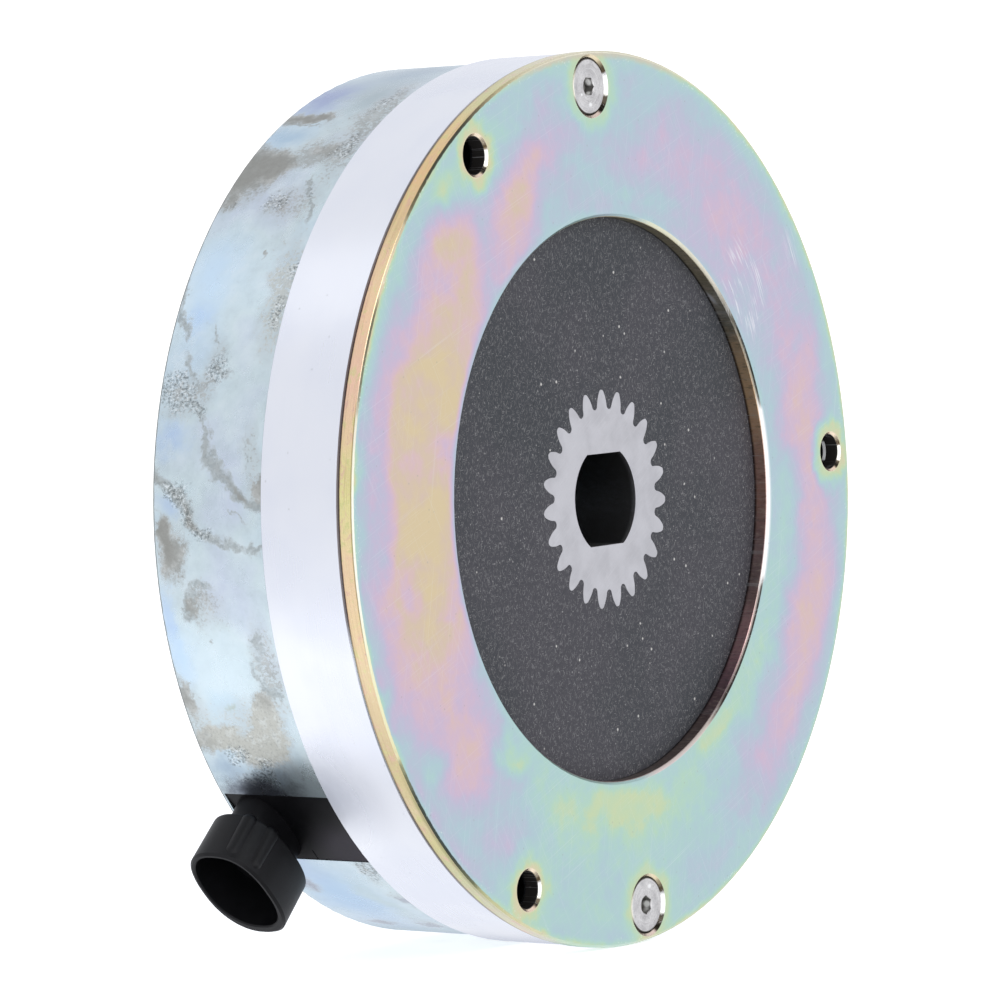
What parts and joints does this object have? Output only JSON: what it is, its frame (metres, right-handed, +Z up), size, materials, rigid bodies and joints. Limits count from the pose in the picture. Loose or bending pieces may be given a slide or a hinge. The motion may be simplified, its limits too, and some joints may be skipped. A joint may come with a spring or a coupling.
{
  "type": "motor brake",
  "caption": "Spring-applied, electrically released disc brake for a golf cart motor: round mounting plate, spacer ring, magnet body, splined hub and a plug-in connector socket.",
  "frame": {"origin": "centre of the bolt circle on the mounting plate's front face, where the brake's axis meets it", "axes": "Y is the brake's axis: -Y points out of the mounting face, towards the motor that it bolts to, and +Y into the brake. +Z is up as the brake stands in the picture. Seen from the front the mounting holes stand at 6.2, 126.2 and 246.2 degrees, the two screws at 96.2 and 276.2, and the connector at 225.5, counted from +X towards +Z."},
  "size_m": [0.16, 0.0448, 0.16],
  "materials": {
    "iridescent_zinc": "yellow passivated zinc, iridescent satin",
    "machined_aluminium": "fine turned",
    "clear_zinc": "clear passivated zinc with grey blotches",
    "nickel_steel": "nickel plated satin",
    "hub_steel": "ground satin",
    "friction_lining": "moulded fibre, matt",
    "disc_steel": "blanked",
    "armature_steel": "ground and nitrided",
    "shim_brass": "rolled",
    "pin_steel": "ground",
    "spring_steel": "phosphated",
    "cap_steel": "clear zinc",
    "bobbin_plastic": "glass-filled nylon",
    "enamelled_copper": "enamelled",
    "potting_resin": "cast resin",
    "lead_insulation": "insulation",
    "tinned_copper": "tinned",
    "seal_rubber": "moulded",
    "grommet_rubber": "moulded",
    "black_nylon": "satin moulded"
  },
  "bodies": {
    "housing": {"mounting_plate": "iridescent_zinc", "plate_screws": "nickel_steel", "spacer_ring": "machined_aluminium", "magnet_body": "clear_zinc", "bore_cap": "cap_steel", "guide_pins": "pin_steel", "pressure_springs": "spring_steel", "coil_bobbin": "bobbin_plastic", "coil_winding": "enamelled_copper", "coil_potting": "potting_resin", "lead_wires": "lead_insulation", "lead_splices": "tinned_copper", "wire_grommet": "grommet_rubber", "connector_seal": "seal_rubber", "connector_housing": "black_nylon", "terminal_pins": "tinned_copper"},
    "armature": {"armature_plate": "armature_steel", "residual_shim": "shim_brass"},
    "hub": {"splined_hub": "hub_steel"},
    "friction_disc": {"front_lining": "friction_lining", "disc_core": "disc_steel", "rear_lining": "friction_lining"}
  },
  "joints": [
    {"name": "hub_spin", "type": "hinge", "parent": "housing", "child": "hub", "pos_m": [0, 0.003, 0], "axis": [0, 1, 0], "continuous": true},
    {"name": "armature_release", "type": "slide", "parent": "housing", "child": "armature", "axis": [0, 1, 0], "range_m": [0, 0.0004], "stiffness_N_per_m": 51000, "springref_m": -0.0067, "deforming": ["pressure_springs"]},
    {"name": "disc_float", "type": "slide", "parent": "hub", "child": "friction_disc", "axis": [0, 1, 0], "range_m": [0, 0.0002]}
  ],
  "couplings": [
    {"joint": "disc_float", "follows": "armature_release", "ratio": 0.5}
  ]
}
